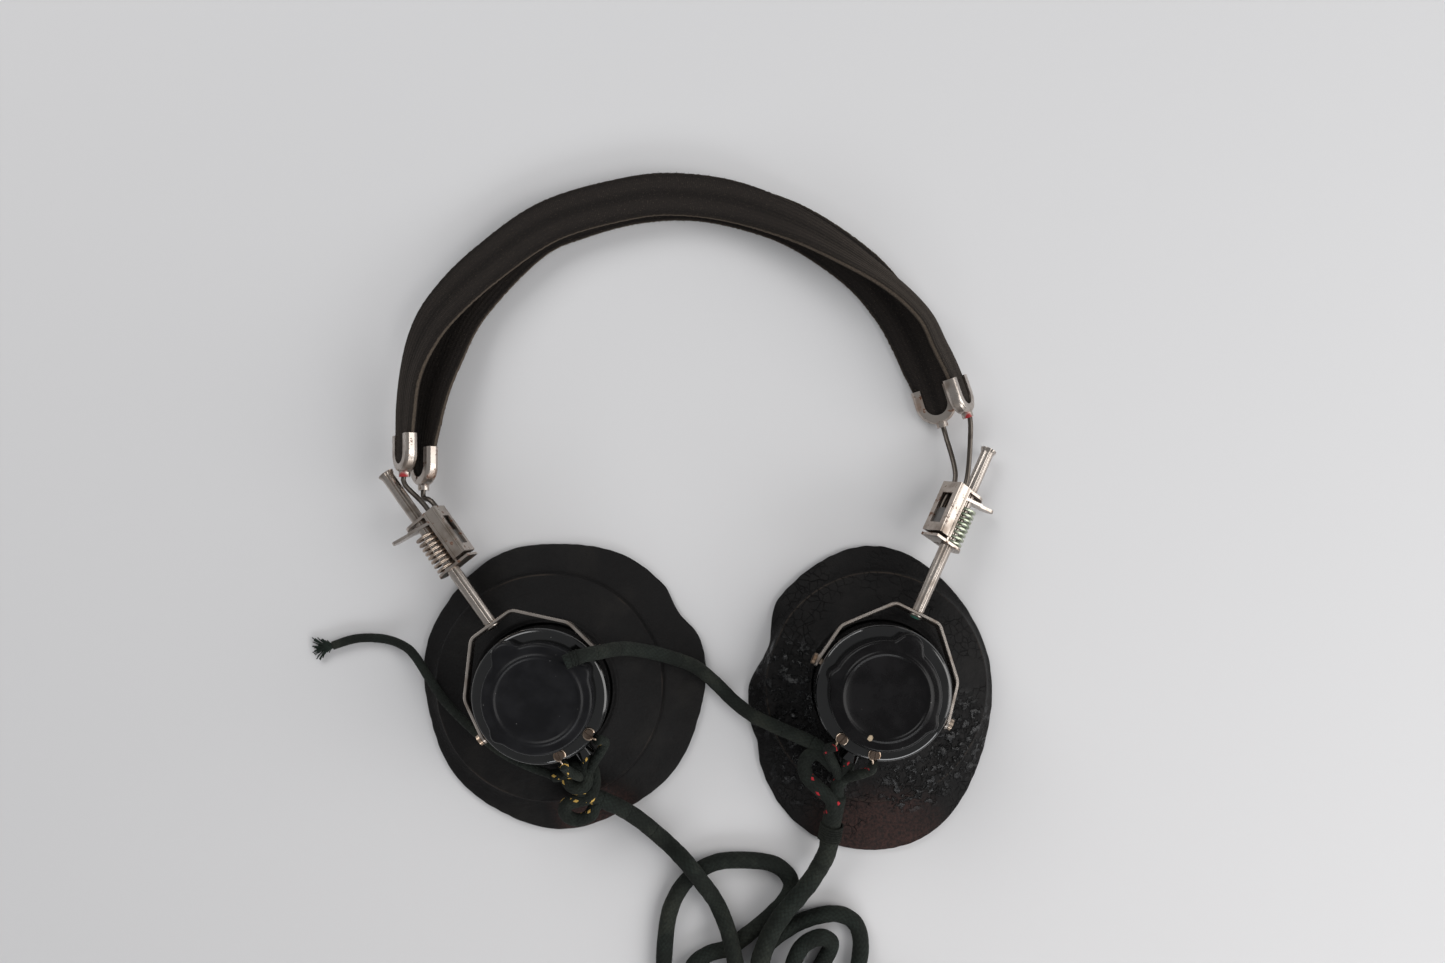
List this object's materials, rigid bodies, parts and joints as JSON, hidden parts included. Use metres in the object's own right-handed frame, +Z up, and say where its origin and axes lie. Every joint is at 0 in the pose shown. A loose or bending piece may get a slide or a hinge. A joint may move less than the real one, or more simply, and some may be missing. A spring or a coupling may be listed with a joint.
{
  "type": "radio headphones",
  "caption": "Old radio headphones lying flat: bakelite receivers on rubber ear cushions, strip yokes on sliding rods, spring clamps, woven head straps and a braided cord with a plug",
  "frame": {"origin": "on the table, under the middle of the headset without its free cords", "axes": "+X to the headset's right as it lies, +Y from the receivers towards the top of the headband, +Z up from the table"},
  "size_m": [0.3323, 0.4035, 0.048],
  "materials": {
    "webbing": "woven tubular cotton webbing, dusty and worn brown along its edges",
    "spring_wire": "dark spring steel",
    "clip_nickel": "nickel plate with a few rust spots",
    "nickel": "nickel plate, warm and slightly tarnished",
    "soft_iron": "plain iron",
    "brass": "tarnished brass",
    "bakelite": "glossy black bakelite",
    "cap_bakelite": "satin black bakelite",
    "diaphragm": "lacquered iron",
    "magnet": "cobalt steel",
    "coil_wire": "enamelled copper wire",
    "rubber_left": "perished black rubber with a dull brown bloom",
    "rubber_right": "cracked black rubber with tarry shiny spots",
    "cord": "dark green braided cotton with yellow and red tracer threads",
    "spring_grey": "dull nickel on spring steel",
    "spring_green": "greenish corroded plate",
    "plug_black": "black bakelite",
    "plug_metal": "brass"
  },
  "bodies": {
    "headband": {"strap_front": "webbing", "strap_back": "webbing", "band_wire_front": "spring_wire", "band_wire_back": "spring_wire", "clip_front_left": "clip_nickel", "clip_back_left": "clip_nickel", "clip_front_right": "clip_nickel", "clip_back_right": "clip_nickel", "clamp_left": "nickel", "clamp_right": "nickel", "wire_anchor_left": "soft_iron", "wire_anchor_right": "soft_iron", "clamp_spring_left": "spring_grey", "clamp_spring_right": "spring_green", "tie_cord": "cord", "link_cord": "cord", "left_lead": "cord", "right_lead": "cord", "lead_junction": "cord", "trunk_cord": "cord", "cord_coil": "cord", "coil_tie": "cord", "plug_tail": "cord", "plug_handle": "plug_black", "plug_sleeve": "plug_metal", "plug_tip": "plug_metal"},
    "left_lever": {"release_lever_left": "nickel"},
    "left_rod": {"slide_rod_left": "nickel"},
    "left_yoke": {"yoke_left": "nickel"},
    "left_receiver": {"pivot_screws_left": "brass", "receiver_case_left": "bakelite", "back_cap_left": "cap_bakelite", "cord_bush_left": "bakelite", "terminal_screws_left": "brass", "ear_cap_left": "bakelite", "diaphragm_left": "diaphragm", "magnet_left": "magnet", "pole_pieces_left": "soft_iron", "coils_left": "coil_wire", "ear_cushion_left": "rubber_left", "knot_left": "cord", "inner_leads_left": "cord"},
    "right_lever": {"release_lever_right": "nickel"},
    "right_rod": {"slide_rod_right": "nickel"},
    "right_yoke": {"yoke_right": "nickel"},
    "right_receiver": {"pivot_screws_right": "brass", "receiver_case_right": "bakelite", "back_cap_right": "cap_bakelite", "cord_bush_right": "bakelite", "terminal_screws_right": "brass", "ear_cap_right": "bakelite", "diaphragm_right": "diaphragm", "magnet_right": "magnet", "pole_pieces_right": "soft_iron", "coils_right": "coil_wire", "ear_cushion_right": "rubber_right", "knot_right": "cord", "inner_leads_right": "cord"}
  },
  "joints": [
    {"name": "left_lever_tilt", "type": "hinge", "parent": "headband", "child": "left_lever", "pos_m": [-0.09531, -0.00277, 0.01949], "axis": [-0.1973, 0.0037, 0.9803], "range_deg": [0, 9], "stiffness_Nm_per_rad": 0.06, "deforming": ["clamp_spring_left"]},
    {"name": "left_rod_slide", "type": "slide", "parent": "headband", "child": "left_rod", "axis": [0.5904, -0.7979, 0.1219], "range_m": [-0.006, 0.016], "deforming": ["tie_cord", "link_cord", "left_lead"]},
    {"name": "left_swivel", "type": "hinge", "parent": "left_rod", "child": "left_yoke", "pos_m": [-0.0728, -0.03967, 0.02416], "axis": [-0.5904, 0.7979, -0.1219], "range_deg": [-90, 90], "deforming": ["tie_cord", "link_cord", "left_lead"]},
    {"name": "left_tilt", "type": "hinge", "parent": "left_yoke", "child": "left_receiver", "pos_m": [-0.0542, -0.0648, 0.028], "axis": [0.8039, 0.5948, 0], "range_deg": [-35, 6], "deforming": ["tie_cord", "link_cord", "left_lead"]},
    {"name": "right_lever_tilt", "type": "hinge", "parent": "headband", "child": "right_lever", "pos_m": [0.10073, 0.0065, 0.01238], "axis": [-0.5348, 0.0441, -0.8438], "range_deg": [0, 9], "stiffness_Nm_per_rad": 0.06, "deforming": ["clamp_spring_right"]},
    {"name": "right_rod_slide", "type": "slide", "parent": "headband", "child": "right_rod", "axis": [-0.4271, -0.8758, 0.225], "range_m": [-0.005, 0.014], "deforming": ["link_cord", "right_lead"]},
    {"name": "right_swivel", "type": "hinge", "parent": "right_rod", "child": "right_yoke", "pos_m": [0.08375, -0.03601, 0.02091], "axis": [0.4271, 0.8758, -0.225], "range_deg": [-90, 90], "deforming": ["link_cord", "right_lead"]},
    {"name": "right_tilt", "type": "hinge", "parent": "right_yoke", "child": "right_receiver", "pos_m": [0.0703, -0.0636, 0.028], "axis": [0.8988, -0.4384, 0], "range_deg": [-35, 3], "deforming": ["link_cord", "right_lead"]}
  ]
}
